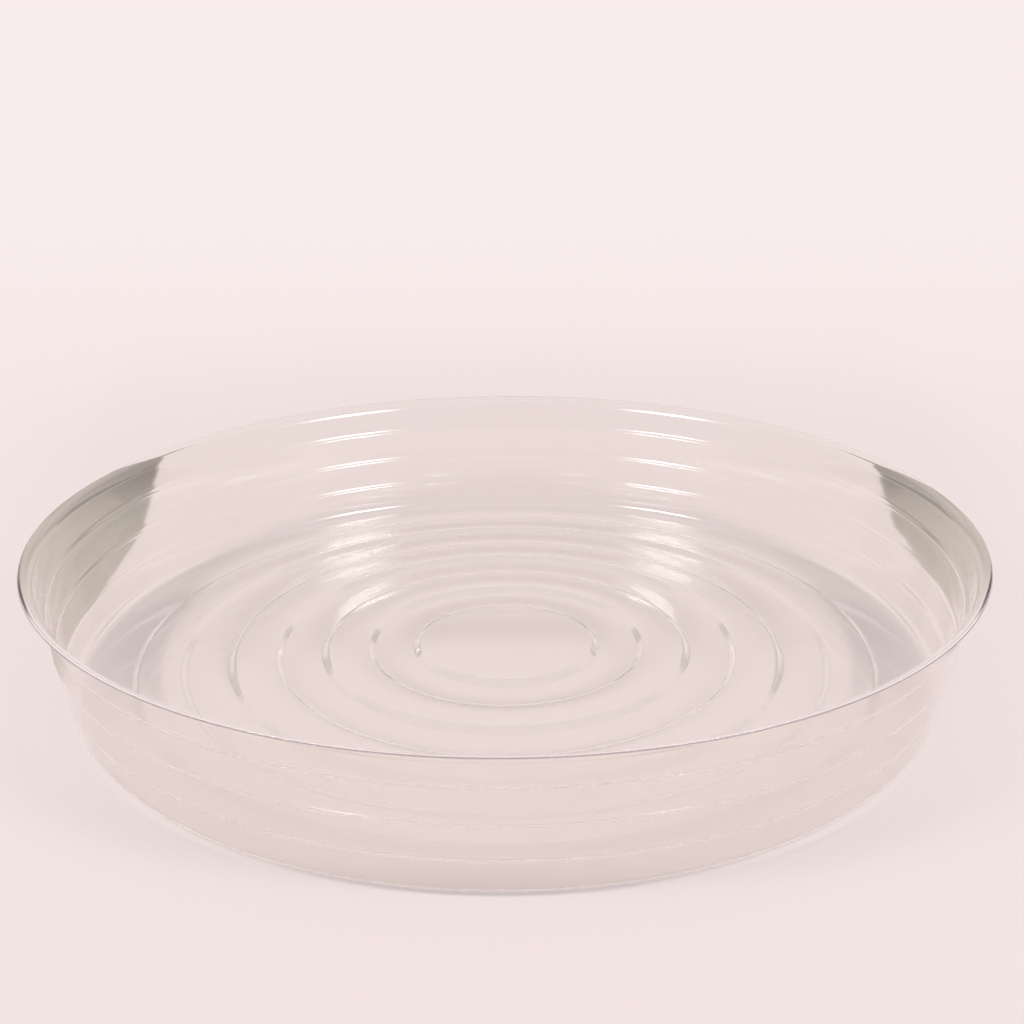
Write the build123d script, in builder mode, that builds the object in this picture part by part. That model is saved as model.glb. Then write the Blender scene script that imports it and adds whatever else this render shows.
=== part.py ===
from build123d import *
import math
import os

os.makedirs("parts", exist_ok=True)

# Clear plant saucer: one thin sheet drawn down over a round mould and trimmed at the rim.
# Millimetres, +Z up, origin on the ground at the centre of the saucer.

# Sheet and rim
sheet = 0.6
rim_radius = 178.0
rim_underside_height = 52.7

# Floor: a raised centre, then sunk and raised rings in turn, one sloped step per pitch
ring_rise = 1.9
ring_slope_width = 2.4
first_step_radius = 35.2
step_pitch = 17.9
step_count = 7

# Foot of the wall, where the outermost sunk ring turns up
foot_radius = 165.3
foot_corner_radius = 4.5
foot_corner_bends = 4

# Side wall: four tiers, each stepping out on a sloped ledge, the top one leaning out most
wall_draft = 4.0
top_draft = 9.0
ledge_heights = (12.7, 25.3, 38.8)
ledge_width = 1.3
ledge_rise = 1.2

# Lip: the wall flares out softly, then turns into a narrow flange that climbs to the cut edge
flare_height = 49.8
flare_radius = 4.0
flare_bends = 2
flange_width = 3.0
flange_rise = 1.35


def floor_line():
    """Underside of the floor from the axis to the last step, as (radius, height) points."""
    points = [(0, ring_rise)]
    for step in range(step_count):
        radius = first_step_radius + step * step_pitch
        heights = (ring_rise, 0) if step % 2 == 0 else (0, ring_rise)
        points.append((radius - ring_slope_width / 2, heights[0]))
        points.append((radius + ring_slope_width / 2, heights[1]))
    return points


def soft_corner(before, corner, after, radius, bends):
    """Turn the sheet at a corner in short equal bends that follow a radius."""
    way_in = math.atan2(corner[1] - before[1], corner[0] - before[0])
    way_out = math.atan2(after[1] - corner[1], after[0] - corner[0])
    side = math.copysign(1, way_out - way_in)
    reach = radius * math.tan(abs(way_out - way_in) / 2)
    centre_r = corner[0] - reach * math.cos(way_in) - side * radius * math.sin(way_in)
    centre_z = corner[1] - reach * math.sin(way_in) + side * radius * math.cos(way_in)
    points = []
    for bend in range(bends + 1):
        heading = way_in + (way_out - way_in) * bend / bends
        bend_r = centre_r + side * radius * math.sin(heading)
        bend_z = centre_z - side * radius * math.cos(heading)
        points.append((bend_r, bend_z))
    return points


def wall_line(floor_end):
    """Outside of the wall from the foot corner to the rim, as (radius, height) points."""
    draft = math.tan(math.radians(wall_draft))
    foot = (foot_radius, 0)
    radius, height = foot
    tiers = []
    for ledge_height in ledge_heights:
        radius += (ledge_height - height) * draft
        tiers.append((radius, ledge_height))
        radius += ledge_width
        height = ledge_height + ledge_rise
        tiers.append((radius, height))
    lean = math.tan(math.radians(top_draft))
    flare = (radius + (flare_height - height) * lean, flare_height)
    flange_start = (rim_radius - flange_width, rim_underside_height - flange_rise)
    rim = (rim_radius, rim_underside_height)

    foot_points = soft_corner(floor_end, foot, tiers[0], foot_corner_radius, foot_corner_bends)
    flare_points = soft_corner(tiers[-1], flare, flange_start, flare_radius, flare_bends)
    return foot_points + tiers + flare_points + [flange_start, rim]


# Saucer: half section of the sheet, its underside line thickened inward and spun round
floor_points = floor_line()
wall_points = wall_line(floor_points[-1])

with BuildPart() as saucer:
    with BuildSketch(Plane.XZ) as section:
        with BuildLine() as underside:
            Polyline(*floor_points, *wall_points)
            offset(amount=sheet, side=Side.LEFT, kind=Kind.INTERSECTION)
        make_face()
    revolve(axis=Axis.Z)

saucer.part.label = "saucer"
export_step(saucer.part, "parts/saucer.step")
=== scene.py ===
"""A clear formed plant saucer on pale paper, lit by two soft lamps.

Metres, +Z up, origin on the ground at the centre of the saucer. The saucer is one thin
clear sheet, drawn over a round mould and trimmed at the rim.
"""

import logging
import math
from dataclasses import dataclass, field
from enum import Enum

import bmesh
import bpy
from mathutils import Matrix, Vector


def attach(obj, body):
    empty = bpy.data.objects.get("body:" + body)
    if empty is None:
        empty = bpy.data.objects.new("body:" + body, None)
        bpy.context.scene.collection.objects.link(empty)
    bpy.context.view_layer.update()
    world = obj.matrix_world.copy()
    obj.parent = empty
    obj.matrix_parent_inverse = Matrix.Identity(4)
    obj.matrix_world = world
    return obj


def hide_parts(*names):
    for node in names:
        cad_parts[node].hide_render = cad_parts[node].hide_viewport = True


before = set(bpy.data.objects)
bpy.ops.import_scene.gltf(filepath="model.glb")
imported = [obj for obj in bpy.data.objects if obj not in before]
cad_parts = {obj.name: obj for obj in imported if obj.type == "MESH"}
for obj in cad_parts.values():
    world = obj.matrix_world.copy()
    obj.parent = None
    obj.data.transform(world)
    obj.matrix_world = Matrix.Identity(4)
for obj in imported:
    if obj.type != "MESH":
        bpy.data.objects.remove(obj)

log = logging.getLogger("plant_saucer")

CAD_NODE = "saucer"
BODY = "root"

Triple = tuple[float, float, float]
Colour = Triple
SectionPoint = tuple[float, float]


class Bend(Enum):
    """The kinds of bend in the sheet's half section."""

    END = "end"
    RING = "ring"
    FOOT = "foot"
    LEDGE_UNDER = "ledge_under"
    LEDGE_OVER = "ledge_over"
    FLARE = "flare"
    FLANGE = "flange"


class Region(Enum):
    """The parts of the shell that take different finishes, in slot order."""

    SHEET = 0
    CUT_EDGE = 1


class Hand(Enum):
    """The side of the camera on which a lamp stands."""

    LEFT = -1
    RIGHT = 1


LAMP_AZIMUTHS: dict[Hand, float] = {
    Hand.LEFT: math.radians(57.7),
    Hand.RIGHT: math.radians(53.7),
}


def linear(red: int, green: int, blue: int) -> Colour:
    """Turn a display colour into the linear colour that shaders take.

    Args:
        red: Red, from 0 to 255.
        green: Green, from 0 to 255.
        blue: Blue, from 0 to 255.

    Returns:
        The linear red, green and blue.
    """

    def one(value: int) -> float:
        """Undo the display curve of one channel."""
        share = value / 255.0
        return share / 12.92 if share <= 0.04045 else ((share + 0.055) / 1.055) ** 2.4

    return (one(red), one(green), one(blue))


class Wiring:
    """Adds nodes to one node tree and joins them."""

    def __init__(self, tree: bpy.types.NodeTree) -> None:
        """Start with an empty tree.

        Args:
            tree: The node tree to fill.
        """
        self.tree = tree
        self.tree.nodes.clear()

    def add(self, kind: str, at: tuple[int, int], **values: object) -> bpy.types.Node:
        """Add a node, and set its properties or unlinked inputs.

        Args:
            kind: The node's type name.
            at: Where it stands in the node editor.
            values: Property names, or input names with underscores for spaces.

        Returns:
            The new node.
        """
        node = self.tree.nodes.new(kind)
        node.location = at
        for name, value in values.items():
            if hasattr(node, name):
                setattr(node, name, value)
            else:
                node.inputs[name.replace("_", " ")].default_value = value
        return node

    def join(self, source: bpy.types.NodeSocket, target: bpy.types.NodeSocket) -> None:
        """Join an output to an input."""
        self.tree.links.new(source, target)

    def maths(
        self,
        operation: str,
        at: tuple[int, int],
        first: bpy.types.NodeSocket | float,
        second: bpy.types.NodeSocket | float = 0.0,
        clamp: bool = False,
    ) -> bpy.types.NodeSocket:
        """Add a Math node fed by sockets or plain numbers.

        Args:
            operation: The Math node's operation.
            at: Where it stands in the node editor.
            first: The first operand.
            second: The second operand.
            clamp: Whether the result is kept between 0 and 1.

        Returns:
            The result's socket.
        """
        node = self.add("ShaderNodeMath", at, operation=operation, use_clamp=clamp)
        for index, operand in enumerate((first, second)):
            if isinstance(operand, bpy.types.NodeSocket):
                self.join(operand, node.inputs[index])
            else:
                node.inputs[index].default_value = operand
        return node.outputs[0]

    def span(
        self, at: tuple[int, int], value: bpy.types.NodeSocket, ends: tuple[float, float]
    ) -> bpy.types.NodeSocket:
        """Turn a value into a smooth share between two ends.

        Args:
            at: Where the node stands in the node editor.
            value: The value.
            ends: The values at which the share is zero and one.

        Returns:
            The share's socket.
        """
        low, high = ends
        node = self.add(
            "ShaderNodeMapRange", at, interpolation_type="SMOOTHSTEP", From_Min=low, From_Max=high
        )
        self.join(value, node.inputs["Value"])
        return node.outputs[0]

    def noise(
        self, at: tuple[int, int], place: bpy.types.NodeSocket, **values: float
    ) -> bpy.types.NodeSocket:
        """Add a noise pattern.

        Args:
            at: Where the node stands in the node editor.
            place: Position in the pattern.
            values: The noise's Scale, Detail and Roughness.

        Returns:
            The pattern's socket.
        """
        node = self.add("ShaderNodeTexNoise", at, **values)
        self.join(place, node.inputs["Vector"])
        return node.outputs[0]

    def moved(
        self, at: tuple[int, int], place: bpy.types.NodeSocket, **values: Triple
    ) -> bpy.types.NodeSocket:
        """Shift, turn or scale a position.

        Args:
            at: Where the node stands in the node editor.
            place: The position.
            values: The Location, Rotation or Scale to apply.

        Returns:
            The new position's socket.
        """
        node = self.add("ShaderNodeMapping", at, **values)
        self.join(place, node.inputs["Vector"])
        return node.outputs["Vector"]

    def ramp(
        self,
        at: tuple[int, int],
        share: bpy.types.NodeSocket,
        stops: tuple[tuple[float, Colour], ...],
    ) -> bpy.types.NodeSocket:
        """Turn a share into a colour that passes from stop to stop.

        Args:
            at: Where the node stands in the node editor.
            share: The share, from zero to one.
            stops: The share at which each stop stands and its colour, lowest first.

        Returns:
            The colour's socket.
        """
        node = self.add("ShaderNodeValToRGB", at)
        marks = node.color_ramp.elements
        while len(marks) < len(stops):
            marks.new(1.0)
        for mark, (position, colour) in zip(marks, stops):
            mark.position = position
            mark.color = (*colour, 1.0)
        self.join(share, node.inputs["Fac"])
        return node.outputs["Color"]

    def blend(
        self,
        at: tuple[int, int],
        share: bpy.types.NodeSocket,
        first: bpy.types.NodeSocket | Colour,
        second: bpy.types.NodeSocket | Colour,
    ) -> bpy.types.NodeSocket:
        """Mix two colours, given as sockets or as plain colours.

        Args:
            at: Where the node stands in the node editor.
            share: The share of the second colour.
            first: The first colour.
            second: The second colour.

        Returns:
            The mixed colour's socket.
        """
        node = self.add("ShaderNodeMix", at, data_type="RGBA")
        self.join(share, node.inputs[0])
        for index, colour in ((6, first), (7, second)):
            if isinstance(colour, bpy.types.NodeSocket):
                self.join(colour, node.inputs[index])
            else:
                node.inputs[index].default_value = (*colour, 1.0)
        return node.outputs[2]


def open_ports(
    tree: bpy.types.NodeTree, amounts: tuple[str, ...], results: tuple[str, ...]
) -> None:
    """Give a node group its inputs, a Vector and some amounts, and its outputs.

    Args:
        tree: The node group.
        amounts: The names of the inputs that take a number.
        results: The names of the outputs.
    """
    tree.interface.new_socket("Vector", in_out="INPUT", socket_type="NodeSocketVector")
    for name in amounts:
        tree.interface.new_socket(name, in_out="INPUT", socket_type="NodeSocketFloat")
    for name in results:
        tree.interface.new_socket(name, in_out="OUTPUT", socket_type="NodeSocketFloat")


@dataclass(frozen=True)
class HandlingHaze:
    """The roughness of a handled clear sheet: a soft haze, and fine scuffs in patches."""

    cloud_scale: float = 38.0
    drag_turn: Triple = (0.0, 0.0, 0.6)
    drag_scale: Triple = (14.0, 900.0, 300.0)
    patch_scale: float = 22.0
    streak_ends: tuple[float, float] = (0.66, 0.74)
    patch_ends: tuple[float, float] = (0.5, 0.62)

    def group(self) -> bpy.types.NodeTree:
        """Build the effect as a node group.

        Returns:
            A shader node group with the inputs Vector, Base, Haze and Scuffs, and the
            outputs Roughness and Scuffing.
        """
        tree = bpy.data.node_groups.new("HandlingHaze", "ShaderNodeTree")
        open_ports(tree, ("Base", "Haze", "Scuffs"), ("Roughness", "Scuffing"))
        wiring = Wiring(tree)
        start = wiring.add("NodeGroupInput", (-1000, 0)).outputs
        place = start["Vector"]
        cloud = wiring.noise(
            (-700, 200), place, Scale=self.cloud_scale, Detail=4.0, Roughness=0.55
        )

        drag = wiring.moved((-850, -250), place, Rotation=self.drag_turn, Scale=self.drag_scale)
        streaks = wiring.noise((-650, -250), drag, Scale=1.0, Detail=2.0, Roughness=0.5)
        patches = wiring.noise((-650, -500), place, Scale=self.patch_scale, Detail=2.0)
        thin = wiring.span((-450, -250), streaks, self.streak_ends)
        where = wiring.span((-450, -500), patches, self.patch_ends)
        scuffing = wiring.maths("MULTIPLY", (-250, -350), thin, where)

        haze = wiring.maths("MULTIPLY", (-450, 150), cloud, start["Haze"])
        soft = wiring.maths("ADD", (-250, 100), haze, start["Base"])
        marks = wiring.maths("MULTIPLY", (-50, -200), scuffing, start["Scuffs"])
        total = wiring.maths("ADD", (100, 0), soft, marks, clamp=True)

        end = wiring.add("NodeGroupOutput", (300, 0))
        wiring.join(total, end.inputs["Roughness"])
        wiring.join(scuffing, end.inputs["Scuffing"])
        return tree


@dataclass(frozen=True)
class DrawnSheet:
    """The relief of a drawn sheet: slow swells from forming, and a fine peel."""

    swell_scale: Triple = (26.0, 26.0, 12.0)
    peel_scale: float = 420.0

    def group(self) -> bpy.types.NodeTree:
        """Build the effect as a node group.

        Returns:
            A shader node group with the inputs Vector, Swell and Peel, and the output
            Height in metres.
        """
        tree = bpy.data.node_groups.new("DrawnSheet", "ShaderNodeTree")
        open_ports(tree, ("Swell", "Peel"), ("Height",))
        wiring = Wiring(tree)
        start = wiring.add("NodeGroupInput", (-900, 0)).outputs
        place = start["Vector"]
        pull = wiring.moved((-700, 200), place, Scale=self.swell_scale)
        swell = wiring.noise((-500, 200), pull, Scale=1.0, Detail=1.5, Roughness=0.4)
        peel = wiring.noise((-500, -100), place, Scale=self.peel_scale, Detail=1.0, Roughness=0.4)
        slow = wiring.maths("MULTIPLY", (-250, 150), swell, start["Swell"])
        fine = wiring.maths("MULTIPLY", (-250, -100), peel, start["Peel"])
        total = wiring.maths("ADD", (0, 0), slow, fine)

        end = wiring.add("NodeGroupOutput", (200, 0))
        wiring.join(total, end.inputs["Height"])
        return tree


@dataclass(frozen=True)
class EffectGroups:
    """The node groups that both finishes of the sheet use."""

    haze: bpy.types.NodeTree
    relief: bpy.types.NodeTree


@dataclass(frozen=True)
class ClearSheetFinish:
    """Clear glossy plastic, as the faces of a formed sheet or, in painted shade and light, as its
    cut edge.
    """

    name: str
    thin_tint_and_edge_shade: Colour
    thick_tint_and_edge_shade: Colour
    scuff_tint: Colour
    inner_tint_and_edge_light: Colour
    clearness: float = 1.0
    refraction: float = 1.57
    base_roughness: float = 0.045
    haze: float = 0.03
    scuffs: float = 0.1
    swell: float = 0.00003
    peel: float = 0.0000001
    noise_shift: Triple = (0.31, 0.17, 0.09)
    gauge_scale: float = 14.0
    gauge_ends: tuple[float, float] = (0.35, 0.7)
    front_loss: float = 2.2
    most_mirrorings: float = 2.5
    most_turns: float = 8.5

    def colour(
        self,
        wiring: Wiring,
        place: bpy.types.NodeSocket,
        scuffing: bpy.types.NodeSocket,
        inside: bpy.types.NodeSocket,
    ) -> bpy.types.NodeSocket:
        """Colour the plastic by its gauge, its scuffs and the side that a ray meets.

        Args:
            wiring: The material's wiring.
            place: Position on the sheet.
            scuffing: The share of scuffs.
            inside: One where a ray meets the surface from within the plastic.

        Returns:
            The plastic's colour.
        """
        # On the cut edge these tints are painted shade: a dark mauve line in place of what the
        # clear edge shows by refraction.
        gauge = wiring.noise((-900, 300), place, Scale=self.gauge_scale, Detail=3.0, Roughness=0.5)
        thin, thick = self.gauge_ends
        stops = ((thin, self.thin_tint_and_edge_shade), (thick, self.thick_tint_and_edge_shade))
        tint = wiring.ramp((-650, 300), gauge, stops)
        rubbed = wiring.blend((-350, 250), scuffing, tint, self.scuff_tint)
        # On the cut edge the inner tint is painted light: the edge is pale where a ray meets it
        # from within.
        return wiring.blend((-150, 250), inside, rubbed, self.inner_tint_and_edge_light)

    def straight(
        self, wiring: Wiring, inside: bpy.types.NodeSocket
    ) -> tuple[bpy.types.NodeSocket, bpy.types.NodeSocket]:
        """Find which rays pass straight through the sheet, and what they keep.

        Shadow and diffuse rays do, less what the front of the sheet turns away. So does a
        ray that has been trapped in the sheet for long, and it keeps all it has.

        Args:
            wiring: The material's wiring.
            inside: One where a ray meets the surface from within the plastic.

        Returns:
            The share of rays that pass straight, and the share of light that they keep.
        """
        facing = wiring.add("ShaderNodeFresnel", (-500, -700), IOR=self.refraction)
        front = wiring.maths("SUBTRACT", (-300, -900), 1.0, inside)
        away = wiring.maths("MULTIPLY", (-150, -750), facing.outputs[0], front)
        lost = wiring.maths("MULTIPLY", (0, -750), away, self.front_loss)
        kept = wiring.maths("SUBTRACT", (150, -750), 1.0, lost, clamp=True)

        path = wiring.add("ShaderNodeLightPath", (-600, 700)).outputs
        lit = wiring.maths("MAXIMUM", (-300, 700), path["Is Shadow Ray"], path["Is Diffuse Ray"])
        mirrored = wiring.maths(
            "GREATER_THAN", (-300, 500), path["Glossy Depth"], self.most_mirrorings
        )
        turned = wiring.maths("GREATER_THAN", (-300, 350), path["Ray Depth"], self.most_turns)
        trapped = wiring.maths("MAXIMUM", (-100, 450), mirrored, turned)
        share = wiring.maths("MAXIMUM", (100, 600), lit, trapped)
        return share, wiring.maths("MAXIMUM", (300, -600), kept, trapped)

    def material(self, groups: EffectGroups) -> bpy.types.Material:
        """Build the finish as a node material.

        Args:
            groups: The haze and relief groups that it places.

        Returns:
            The new material.
        """
        made = bpy.data.materials.new(self.name)
        made.use_nodes = True
        wiring = Wiring(made.node_tree)
        texture = wiring.add("ShaderNodeTexCoord", (-1500, 0))
        place = wiring.moved((-1300, 0), texture.outputs["Object"], Location=self.noise_shift)
        haze = wiring.add(
            "ShaderNodeGroup",
            (-900, 0),
            node_tree=groups.haze,
            Base=self.base_roughness,
            Haze=self.haze,
            Scuffs=self.scuffs,
        )
        wiring.join(place, haze.inputs["Vector"])
        relief = wiring.add(
            "ShaderNodeGroup",
            (-900, -300),
            node_tree=groups.relief,
            Swell=self.swell,
            Peel=self.peel,
        )
        wiring.join(place, relief.inputs["Vector"])
        bump = wiring.add("ShaderNodeBump", (-600, -300), Strength=1.0, Distance=1.0)
        wiring.join(relief.outputs["Height"], bump.inputs["Height"])

        inside = wiring.add("ShaderNodeNewGeometry", (-500, -900)).outputs["Backfacing"]
        colour = self.colour(wiring, place, haze.outputs["Scuffing"], inside)
        plastic = wiring.add(
            "ShaderNodeBsdfPrincipled",
            (0, 200),
            Metallic=0.0,
            IOR=self.refraction,
            Transmission_Weight=self.clearness,
        )
        wiring.join(colour, plastic.inputs["Base Color"])
        wiring.join(haze.outputs["Roughness"], plastic.inputs["Roughness"])
        wiring.join(bump.outputs["Normal"], plastic.inputs["Normal"])

        share, kept = self.straight(wiring, inside)
        through = wiring.add("ShaderNodeBsdfTransparent", (450, -600))
        wiring.join(kept, through.inputs["Color"])
        choice = wiring.add("ShaderNodeMixShader", (600, 200))
        wiring.join(share, choice.inputs[0])
        wiring.join(plastic.outputs["BSDF"], choice.inputs[1])
        wiring.join(through.outputs["BSDF"], choice.inputs[2])
        output = wiring.add("ShaderNodeOutputMaterial", (800, 200))
        wiring.join(choice.outputs["Shader"], output.inputs["Surface"])
        return made


FINISHES: dict[Region, ClearSheetFinish] = {
    Region.SHEET: ClearSheetFinish(
        name="clear_formed_sheet",
        thin_tint_and_edge_shade=(0.992, 0.974, 0.952),
        thick_tint_and_edge_shade=(0.978, 0.957, 0.931),
        scuff_tint=(0.93, 0.92, 0.9),
        inner_tint_and_edge_light=(0.987, 0.968, 0.947),
    ),
    # Painted shade and light: the dark mauve tints stand in for the dark line that the clear
    # trimmed edge shows by refraction, and the pale inner tint lightens the edge where a ray meets
    # it from within.
    Region.CUT_EDGE: ClearSheetFinish(
        name="trimmed_edge",
        thin_tint_and_edge_shade=(0.46, 0.36, 0.4),
        thick_tint_and_edge_shade=(0.38, 0.29, 0.33),
        scuff_tint=(0.6, 0.5, 0.52),
        inner_tint_and_edge_light=(0.95, 0.93, 0.93),
        clearness=0.5,
        base_roughness=0.3,
        haze=0.12,
        scuffs=0.2,
    ),
}


@dataclass
class ClearSaucer:
    """The formed sheet: floor rings, foot corner, four wall tiers and the lip."""

    sheet: float = 0.0006
    rim_radius: float = 0.178
    rim_underside_height: float = 0.0527
    ring_rise: float = 0.0019
    ring_slope_width: float = 0.0024
    first_step_radius: float = 0.0352
    step_pitch: float = 0.0179
    step_count: int = 7
    foot_radius: float = 0.1653
    wall_draft: float = math.radians(4.0)
    top_draft: float = math.radians(9.0)
    ledge_heights: tuple[float, ...] = (0.0127, 0.0253, 0.0388)
    ledge_width: float = 0.0013
    ledge_rise: float = 0.0012
    flare_height: float = 0.0498
    flange_width: float = 0.0030
    flange_rise: float = 0.00135
    edge_softness: float = 0.00013
    edge_segments: int = 3
    turn_steps: int = 420
    merge_distance: float = 1e-6
    bend_radii: dict[Bend, float] = field(
        default_factory=lambda: {
            Bend.RING: 0.0012,
            Bend.FOOT: 0.0045,
            Bend.LEDGE_UNDER: 0.0009,
            Bend.LEDGE_OVER: 0.0026,
            Bend.FLARE: 0.0040,
            Bend.FLANGE: 0.0010,
        }
    )
    bend_segments: dict[Bend, int] = field(
        default_factory=lambda: {
            Bend.RING: 3,
            Bend.FOOT: 8,
            Bend.LEDGE_UNDER: 4,
            Bend.LEDGE_OVER: 6,
            Bend.FLARE: 6,
            Bend.FLANGE: 4,
        }
    )

    def section(self) -> list[tuple[SectionPoint, Bend]]:
        """Give the underside's half section, from the axis to the rim.

        Returns:
            Radius and height of each corner, with the kind of bend there.
        """
        line: list[tuple[SectionPoint, Bend]] = [((0.0, self.ring_rise), Bend.END)]
        for step in range(self.step_count):
            radius = self.first_step_radius + step * self.step_pitch
            inner, outer = (self.ring_rise, 0.0) if step % 2 == 0 else (0.0, self.ring_rise)
            line.append(((radius - self.ring_slope_width / 2, inner), Bend.RING))
            line.append(((radius + self.ring_slope_width / 2, outer), Bend.RING))
        lean = math.tan(self.wall_draft)
        radius, height = self.foot_radius, 0.0
        line.append(((radius, height), Bend.FOOT))
        for ledge_height in self.ledge_heights:
            radius += (ledge_height - height) * lean
            line.append(((radius, ledge_height), Bend.LEDGE_UNDER))
            radius += self.ledge_width
            height = ledge_height + self.ledge_rise
            line.append(((radius, height), Bend.LEDGE_OVER))
        radius += (self.flare_height - height) * math.tan(self.top_draft)
        line.append(((radius, self.flare_height), Bend.FLARE))
        rim = (self.rim_radius, self.rim_underside_height)
        line.append(((rim[0] - self.flange_width, rim[1] - self.flange_rise), Bend.FLANGE))
        line.append((rim, Bend.END))
        return line

    def setback(self, before: Vector, corner: Vector, after: Vector, bend: Bend) -> float:
        """Find how far from its corner a bend of the wanted radius begins.

        Args:
            before: The point before the corner.
            corner: The corner.
            after: The point after the corner.
            bend: The kind of bend.

        Returns:
            The distance along either side of the corner.
        """
        turn = (corner - before).angle(after - corner)
        return self.bend_radii[bend] * math.tan(turn / 2)

    def draw_section(self, mesh: bmesh.types.BMesh) -> None:
        """Draw the half section as a chain of edges, then round its corners.

        Args:
            mesh: The empty mesh to draw in.
        """
        line = self.section()
        points = [Vector((radius, 0.0, height)) for (radius, height), _ in line]
        corners = [mesh.verts.new(point) for point in points]
        for start, end in zip(corners, corners[1:]):
            mesh.edges.new((start, end))
        for index in range(1, len(line) - 1):
            bend = line[index][1]
            bmesh.ops.bevel(
                mesh,
                geom=[corners[index]],
                offset=self.setback(points[index - 1], points[index], points[index + 1], bend),
                offset_type="OFFSET",
                segments=self.bend_segments[bend],
                profile=0.5,
                affect="VERTICES",
                material=-1,
            )

    def spin_shell(self, mesh: bmesh.types.BMesh) -> None:
        """Spin the half section round the axis and close its seam and pole.

        Args:
            mesh: The mesh that holds the half section.
        """
        bmesh.ops.spin(
            mesh,
            geom=mesh.verts[:] + mesh.edges[:],
            cent=(0.0, 0.0, 0.0),
            axis=(0.0, 0.0, 1.0),
            dvec=(0.0, 0.0, 0.0),
            angle=2 * math.pi,
            steps=self.turn_steps,
            use_merge=True,
            use_duplicate=False,
        )
        bmesh.ops.remove_doubles(mesh, verts=mesh.verts[:], dist=self.merge_distance)
        bmesh.ops.recalc_face_normals(mesh, faces=mesh.faces[:])

    def give_wall(self, mesh: bmesh.types.BMesh) -> None:
        """Thicken the underside into the sheet, then mark and ease its cut edge.

        Args:
            mesh: The mesh that holds the underside, its normals outward.
        """
        underside = set(mesh.faces)
        before = set(mesh.verts)
        bmesh.ops.solidify(mesh, geom=mesh.faces[:], thickness=self.sheet)
        for face in mesh.faces:
            face.smooth = True
            face.material_index = Region.SHEET.value
            if face not in underside and any(corner in before for corner in face.verts):
                face.material_index = Region.CUT_EDGE.value
        arris = [
            edge
            for edge in mesh.edges
            if len({face.material_index for face in edge.link_faces}) > 1
        ]
        eased = bmesh.ops.bevel(
            mesh,
            geom=arris,
            offset=self.edge_softness,
            offset_type="OFFSET",
            segments=self.edge_segments,
            profile=0.5,
            affect="EDGES",
            material=-1,
        )["faces"]
        for face in eased:
            face.smooth = True
            face.material_index = Region.SHEET.value

    def build(self) -> bpy.types.Object:
        """Build the saucer's mesh in the shared frame.

        Returns:
            The new object, standing for the CAD node.
        """
        mesh = bmesh.new()
        self.draw_section(mesh)
        self.spin_shell(mesh)
        self.give_wall(mesh)
        data = bpy.data.meshes.new("clear_saucer")
        mesh.to_mesh(data)
        mesh.free()
        piece = bpy.data.objects.new("clear_saucer", data)
        bpy.context.scene.collection.objects.link(piece)
        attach(piece, BODY)
        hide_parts(CAD_NODE)
        return piece

    def dress(self, piece: bpy.types.Object, groups: EffectGroups) -> None:
        """Give the sheet and its cut edge their finishes.

        Args:
            piece: The saucer.
            groups: The node groups that the finishes share.
        """
        for region in Region:
            piece.data.materials.append(FINISHES[region].material(groups))


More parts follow.
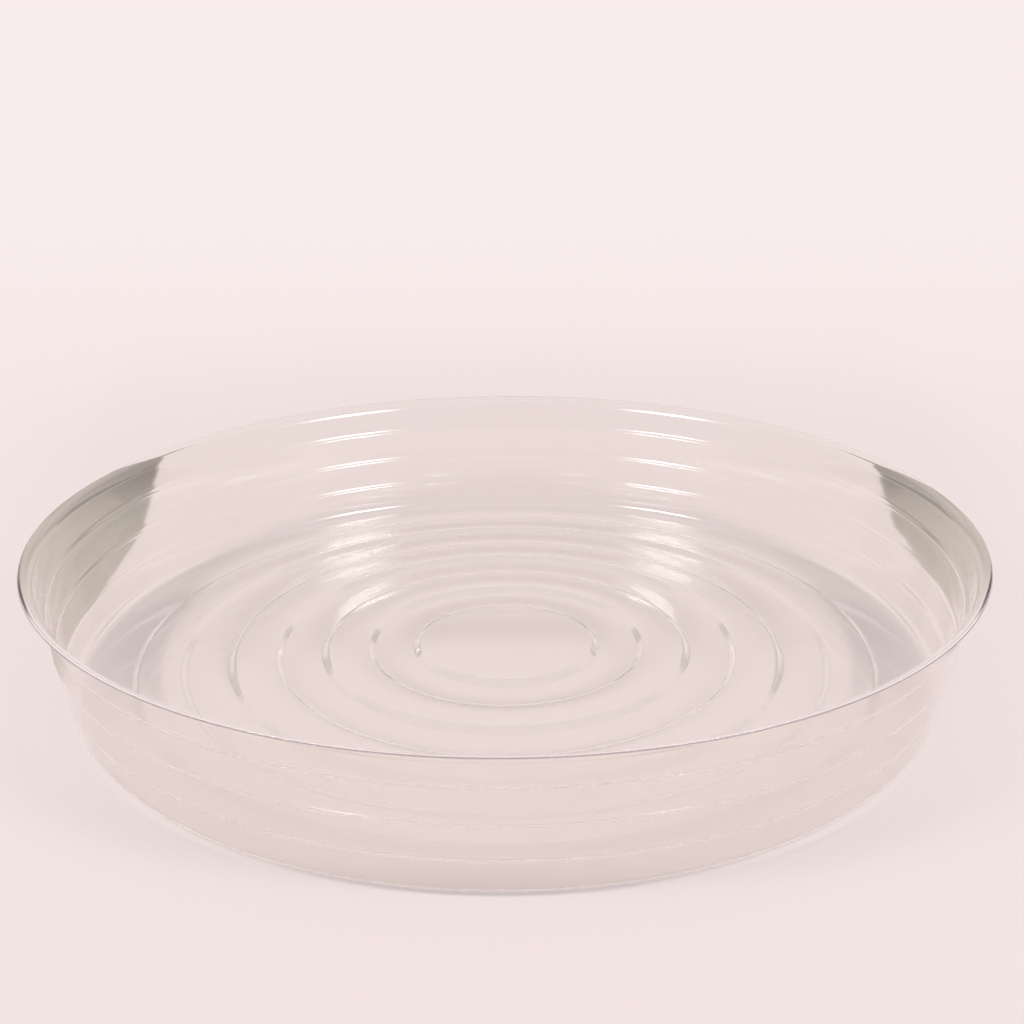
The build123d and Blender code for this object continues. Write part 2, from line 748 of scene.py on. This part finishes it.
@dataclass(frozen=True)
class StudioPaper:
    """The pale paper under and behind the saucer, and what lies past its edges.

    The table beside the paper, and the dark room beside the backdrop in painted shade, show
    only in mirrored and bent rays, which is where the saucer picks them up.
    """

    near_colour: Colour = linear(240, 227, 225)
    far_colour: Colour = linear(249, 236, 236)
    dim_colour: Colour = linear(190, 177, 172)
    high_colour: Colour = linear(246, 233, 231)
    unlit_room_colour: Colour = linear(30, 28, 26)
    table_colours: tuple[tuple[float, Colour], ...] = (
        (0.04, linear(203, 192, 182)),
        (0.13, linear(188, 179, 170)),
        (0.22, linear(150, 141, 134)),
        (0.60, linear(130, 122, 116)),
    )
    pale_back: tuple[float, float] = (-0.25, 1.2)
    pale_aside: tuple[float, float] = (0.18, 0.3)
    aside_share: float = 0.6
    table_front: tuple[float, float] = (-0.06, -0.02)
    table_back: tuple[float, float] = (0.5, 0.75)
    edge_shift: float = 0.0068
    edge_half_width: float = 0.183
    edge_wander: float = 0.003
    edge_ripple: float = 55.0
    edge_blur: float = 0.0004
    spread_start: float = 0.13
    spread: float = 0.155
    blur_start: float = 0.3
    blur: float = 0.13
    dim_foot: tuple[float, float] = (0.42, 0.6)
    dim_head: tuple[float, float] = (0.62, 0.82)
    room_foot: tuple[float, float] = (0.25, 0.5)
    room_head: tuple[float, float] = (0.76, 0.88)
    room_half_width: tuple[float, float] = (0.52, 0.6)
    even_near: float = 0.48
    even_reach: tuple[float, float] = (0.16, 0.62)
    roughness: float = 0.4

    def pale(
        self,
        wiring: Wiring,
        aside: bpy.types.NodeSocket,
        depth: bpy.types.NodeSocket,
        height: bpy.types.NodeSocket,
    ) -> bpy.types.NodeSocket:
        """Colour the paper in painted light and shade: paler toward the back and sides, with a dim
        band on the backdrop.

        Args:
            wiring: The material's wiring.
            aside: Distance to either side of the paper's middle.
            depth: Distance behind the saucer's axis.
            height: Height above the floor.

        Returns:
            The paper's colour.
        """
        # Painted light and shade on one even paper: paler toward the back and sides, dimmer in a
        # band on the backdrop, then pale again above it.
        back = wiring.span((-1150, 400), depth, self.pale_back)
        side = wiring.span((-1350, 500), aside, self.pale_aside)
        beside = wiring.maths("MULTIPLY", (-1200, 500), side, self.aside_share)
        away = wiring.maths("MAXIMUM", (-1050, 450), back, beside)
        colour = wiring.blend((-900, 400), away, self.near_colour, self.far_colour)
        dim = wiring.span((-1150, 250), height, self.dim_foot)
        dimmed = wiring.blend((-700, 350), dim, colour, self.dim_colour)
        high = wiring.span((-1150, 550), height, self.dim_head)
        return wiring.blend((-500, 350), high, dimmed, self.high_colour)

    def table(self, wiring: Wiring, depth: bpy.types.NodeSocket) -> bpy.types.NodeSocket:
        """Colour the table, darker toward the back.

        Args:
            wiring: The material's wiring.
            depth: Distance behind the saucer's axis.

        Returns:
            The table's colour.
        """
        last = self.table_colours[-1][0]
        share = wiring.maths("DIVIDE", (-1150, 50), depth, last, clamp=True)
        stops = tuple((at / last, colour) for at, colour in self.table_colours)
        return wiring.ramp((-950, 50), share, stops)

    def past_edge(
        self,
        wiring: Wiring,
        place: bpy.types.NodeSocket,
        aside: bpy.types.NodeSocket,
        depth: bpy.types.NodeSocket,
    ) -> bpy.types.NodeSocket:
        """Find where the floor lies past the paper's slightly ragged long edges.

        Args:
            wiring: The material's wiring.
            place: Position on the floor.
            aside: Distance to either side of the paper's middle.
            depth: Distance behind the saucer's axis.

        Returns:
            One on the table beside the saucer and zero on the paper.
        """
        ripple = wiring.noise((-1400, -350), place, Scale=self.edge_ripple, Detail=3.0)
        wander = wiring.maths("MULTIPLY", (-1150, -350), ripple, self.edge_wander)
        ragged = wiring.maths("SUBTRACT", (-950, -200), aside, wander)
        back = wiring.maths("SUBTRACT", (-1250, -600), depth, self.spread_start)
        behind = wiring.maths("MAXIMUM", (-1100, -600), back, 0.0)
        spread = wiring.maths("MULTIPLY", (-950, -600), behind, self.spread)
        narrowest = self.edge_half_width - self.edge_wander / 2
        edge = wiring.maths("ADD", (-800, -500), spread, narrowest)
        over = wiring.maths("SUBTRACT", (-650, -350), ragged, edge)
        far = wiring.maths("SUBTRACT", (-1100, -750), depth, self.blur_start)
        further = wiring.maths("MAXIMUM", (-950, -750), far, 0.0)
        blur = wiring.maths("MULTIPLY", (-800, -750), further, self.blur)
        width = wiring.maths("ADD", (-650, -700), blur, self.edge_blur)
        past = wiring.maths("DIVIDE", (-500, -400), over, width, clamp=True)
        beside = wiring.span((-800, -900), depth, self.table_front)
        gone = wiring.span((-800, -1100), depth, self.table_back)
        left = wiring.maths("SUBTRACT", (-600, -1000), beside, gone)
        return wiring.maths("MULTIPLY", (-350, -500), past, left)

    def evenness(self, wiring: Wiring, place: bpy.types.NodeSocket) -> bpy.types.NodeSocket:
        """Give the share of even paleness, which grows away from the saucer.

        Args:
            wiring: The material's wiring.
            place: Position on the floor.

        Returns:
            The share of the colour that takes no shadow.
        """
        flat = wiring.add("ShaderNodeVectorMath", (-1400, 800), operation="LENGTH")
        wiring.join(place, flat.inputs[0])
        away = wiring.span((-1150, 800), flat.outputs["Value"], self.even_reach)
        gain = wiring.maths("MULTIPLY", (-950, 800), away, 1.0 - self.even_near)
        return wiring.maths("ADD", (-800, 800), gain, self.even_near)

    def material(self) -> bpy.types.Material:
        """Build the paper as a node material.

        Returns:
            The new material.
        """
        made = bpy.data.materials.new("studio_paper")
        made.use_nodes = True
        wiring = Wiring(made.node_tree)
        place = wiring.add("ShaderNodeTexCoord", (-1900, 0)).outputs["Object"]
        split = wiring.add("ShaderNodeSeparateXYZ", (-1700, 0))
        wiring.join(place, split.inputs[0])
        across, depth, height = split.outputs
        shifted = wiring.maths("SUBTRACT", (-1550, -150), across, self.edge_shift)
        aside = wiring.maths("ABSOLUTE", (-1400, -150), shifted)

        path = wiring.add("ShaderNodeLightPath", (-700, 900)).outputs
        indirect = wiring.maths(
            "MAXIMUM", (-500, 900), path["Is Transmission Ray"], path["Is Glossy Ray"]
        )
        shown = wiring.maths("MAXIMUM", (-300, 900), indirect, path["Is Camera Ray"])
        paper = self.pale(wiring, aside, depth, height)
        beyond = self.past_edge(wiring, place, aside, depth)
        bare = wiring.maths("MULTIPLY", (-200, -300), beyond, indirect)
        near = wiring.blend((0, 150), bare, paper, self.table(wiring, depth))
        # Painted shade: an unlit room beside the backdrop, dark in mirrored and bent rays only.
        wide = wiring.span((-300, -700), aside, self.room_half_width)
        above = wiring.span((-500, -900), height, self.room_foot)
        over = wiring.span((-500, -1100), height, self.room_head)
        band = wiring.maths("SUBTRACT", (-300, -1000), above, over)
        painted_room_shade = wiring.maths("MULTIPLY", (-100, -800), wide, band)
        unlit = wiring.maths("MULTIPLY", (50, -600), painted_room_shade, indirect)
        seen = wiring.blend((200, 100), unlit, near, self.unlit_room_colour)

        matt = wiring.add("ShaderNodeBsdfDiffuse", (450, 100), Roughness=self.roughness)
        wiring.join(seen, matt.inputs["Color"])
        even = wiring.add("ShaderNodeEmission", (450, -100), Strength=1.0)
        wiring.join(seen, even.inputs["Color"])
        amount = wiring.maths("MULTIPLY", (200, 500), shown, self.evenness(wiring, place))
        choice = wiring.add("ShaderNodeMixShader", (700, 0))
        wiring.join(amount, choice.inputs[0])
        wiring.join(matt.outputs["BSDF"], choice.inputs[1])
        wiring.join(even.outputs["Emission"], choice.inputs[2])
        output = wiring.add("ShaderNodeOutputMaterial", (900, 0))
        wiring.join(choice.outputs["Shader"], output.inputs["Surface"])
        return made


def verts_of(parts: list[object]) -> list[bmesh.types.BMVert]:
    """Keep the vertices from a mesh operator's result."""
    return [part for part in parts if isinstance(part, bmesh.types.BMVert)]


def edges_of(parts: list[object]) -> list[bmesh.types.BMEdge]:
    """Keep the edges from a mesh operator's result."""
    return [part for part in parts if isinstance(part, bmesh.types.BMEdge)]


@dataclass
class PaperSweep:
    """The floor and the curved backdrop, one sheet of paper bent up behind.

    The floor lies a hair below the saucer, so that no face of the clear sheet falls in it.
    """

    level: float = -0.00008
    half_width: float = 2.6
    front: float = -2.6
    bend_start: float = 1.0
    bend_radius: float = 0.5
    top: float = 2.4
    bend_steps: int = 24

    def build(self, paper: StudioPaper) -> bpy.types.Object:
        """Args:
            paper: The finish that it takes.

        Returns:
            The new object.
        """
        mesh = bmesh.new()
        left = mesh.verts.new((-self.half_width, self.front, self.level))
        right = mesh.verts.new((self.half_width, self.front, self.level))
        edge = mesh.edges.new((left, right))
        floor = bmesh.ops.extrude_edge_only(mesh, edges=[edge])["geom"]
        back = verts_of(floor)
        bmesh.ops.translate(mesh, verts=back, vec=(0.0, self.bend_start - self.front, 0.0))
        far = [part for part in edges_of(floor) if all(vert in back for vert in part.verts)]
        bent = bmesh.ops.spin(
            mesh,
            geom=back + far,
            cent=(0.0, self.bend_start, self.level + self.bend_radius),
            axis=(1.0, 0.0, 0.0),
            dvec=(0.0, 0.0, 0.0),
            angle=math.pi / 2,
            steps=self.bend_steps,
            use_merge=False,
            use_duplicate=False,
        )["geom_last"]
        rise = bmesh.ops.extrude_edge_only(mesh, edges=edges_of(bent))["geom"]
        bmesh.ops.translate(
            mesh, verts=verts_of(rise), vec=(0.0, 0.0, self.top - self.bend_radius)
        )
        for face in mesh.faces:
            face.smooth = True
        data = bpy.data.meshes.new("paper_sweep")
        mesh.to_mesh(data)
        mesh.free()
        sweep = bpy.data.objects.new("paper_sweep", data)
        bpy.context.scene.collection.objects.link(sweep)
        data.materials.append(paper.material())
        return sweep


@dataclass(frozen=True)
class SoftLamp:
    """A softbox in front of the saucer, to one side of the camera, brightest in its middle."""

    hand: Hand
    azimuth: float
    elevation: float = math.radians(45.0)
    distance: float = 1.25
    width: float = 0.7
    height: float = 0.7
    glow: tuple[float, float] = (0.7, 0.0)
    falloff: float = 4.0
    face_middle: Triple = (0.5, 0.5, 0.0)
    power: float = 44.8
    colour: Colour = (1.0, 0.99, 0.98)

    def build(self) -> bpy.types.Object:
        """Place the lamp so that it faces the saucer.

        Returns:
            The new lamp object.
        """
        data = bpy.data.lights.new(f"soft_lamp_{self.hand.name.lower()}", "AREA")
        data.shape = "RECTANGLE"
        data.size = self.width
        data.size_y = self.height
        data.energy = self.power
        data.color = self.colour
        self.shade(data)
        lamp = bpy.data.objects.new(data.name, data)
        bpy.context.scene.collection.objects.link(lamp)
        sideways = self.hand.value * math.sin(self.azimuth)
        away = Vector(
            (
                sideways * math.cos(self.elevation),
                -math.cos(self.azimuth) * math.cos(self.elevation),
                math.sin(self.elevation),
            )
        )
        lamp.location = away * self.distance
        lamp.rotation_mode = "QUATERNION"
        lamp.rotation_quaternion = away.to_track_quat("Z", "Y")
        return lamp

    def shade(self, data: bpy.types.Light) -> None:
        """Let the lamp's face dim from its middle to its edge.

        Args:
            data: The lamp's data.
        """
        data.use_nodes = True
        wiring = Wiring(data.node_tree)
        face = wiring.add("ShaderNodeNewGeometry", (-800, 0))
        offset = wiring.add("ShaderNodeVectorMath", (-600, 0), operation="SUBTRACT")
        wiring.join(face.outputs["Parametric"], offset.inputs[0])
        offset.inputs[1].default_value = self.face_middle
        radius = wiring.add("ShaderNodeVectorMath", (-400, 0), operation="LENGTH")
        wiring.join(offset.outputs["Vector"], radius.inputs[0])
        share = wiring.span((-200, 0), radius.outputs["Value"], self.glow)
        bright = wiring.maths("POWER", (-50, 0), share, self.falloff)
        light = wiring.add("ShaderNodeEmission", (100, 0))
        wiring.join(bright, light.inputs["Strength"])
        output = wiring.add("ShaderNodeOutputLight", (300, 0))
        wiring.join(light.outputs["Emission"], output.inputs["Surface"])


@dataclass(frozen=True)
class StudioRoom:
    """The even light of the room, which the camera sees as the paper's own paleness."""

    fill: Colour = (0.38, 0.38, 0.38)
    mirrored: Colour = (0.55, 0.52, 0.5)
    seen: Colour = linear(249, 236, 236)

    def build(self) -> bpy.types.World:
        """Build the world's shader.

        Returns:
            The scene's world.
        """
        world = bpy.data.worlds.new("studio_room")
        world.use_nodes = True
        wiring = Wiring(world.node_tree)
        path = wiring.add("ShaderNodeLightPath", (-600, 300))
        fill = wiring.blend((-300, 100), path.outputs["Is Glossy Ray"], self.fill, self.mirrored)
        seen = wiring.blend((-100, 100), path.outputs["Is Camera Ray"], fill, self.seen)
        light = wiring.add("ShaderNodeBackground", (100, 100), Strength=1.0)
        wiring.join(seen, light.inputs["Color"])
        output = wiring.add("ShaderNodeOutputWorld", (300, 100))
        wiring.join(light.outputs["Background"], output.inputs["Surface"])
        bpy.context.scene.world = world
        return world


@dataclass(frozen=True)
class PhotoCamera:
    """The camera at the photograph's viewing angle, without depth of field."""

    place: Vector = Vector((0.0, -0.496200, 0.239645))
    turn: float = 0.0051394545
    tilt_down: float = 0.3537021814
    roll: float = 0.0038039005
    lens: float = 48.5219
    sensor: float = 36.0
    nearest: float = 0.01

    def build(self) -> bpy.types.Object:
        """Make the camera and use it for the scene.

        Returns:
            The camera object.
        """
        ahead = Vector(
            (
                math.sin(self.turn) * math.cos(self.tilt_down),
                math.cos(self.turn) * math.cos(self.tilt_down),
                -math.sin(self.tilt_down),
            )
        )
        across = Vector((math.cos(self.turn), -math.sin(self.turn), 0.0))
        down = ahead.cross(across)
        right = across * math.cos(self.roll) + down * math.sin(self.roll)
        up = across * math.sin(self.roll) - down * math.cos(self.roll)
        data = bpy.data.cameras.new("photo_camera")
        data.lens = self.lens
        data.sensor_width = self.sensor
        data.clip_start = self.nearest
        camera = bpy.data.objects.new("photo_camera", data)
        bpy.context.scene.collection.objects.link(camera)
        facing = Matrix((right, up, -ahead)).transposed().to_4x4()
        camera.matrix_world = Matrix.Translation(self.place) @ facing
        bpy.context.scene.camera = camera
        return camera


def main() -> None:
    """Build the camera, the stage and the saucer, in that order."""
    logging.basicConfig(level=logging.INFO, format="%(name)s: %(message)s")
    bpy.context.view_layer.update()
    bpy.context.scene.view_settings.view_transform = "Standard"
    camera = PhotoCamera().build()
    log.info("camera %s at %.3f m from the axis", camera.name, camera.location.xy.length)
    sweep = PaperSweep().build(StudioPaper())
    log.info("stage %s with %d faces", sweep.name, len(sweep.data.polygons))
    world = StudioRoom().build()
    log.info("world %s", world.name)
    for hand, azimuth in LAMP_AZIMUTHS.items():
        lamp = SoftLamp(hand=hand, azimuth=azimuth).build()
        log.info("lamp %s at %.2f m", lamp.name, lamp.location.length)

    groups = EffectGroups(haze=HandlingHaze().group(), relief=DrawnSheet().group())
    saucer = ClearSaucer()
    piece = saucer.build()
    saucer.dress(piece, groups)
    log.info("piece %s with %d faces", piece.name, len(piece.data.polygons))


if __name__ == "__main__":
    main()
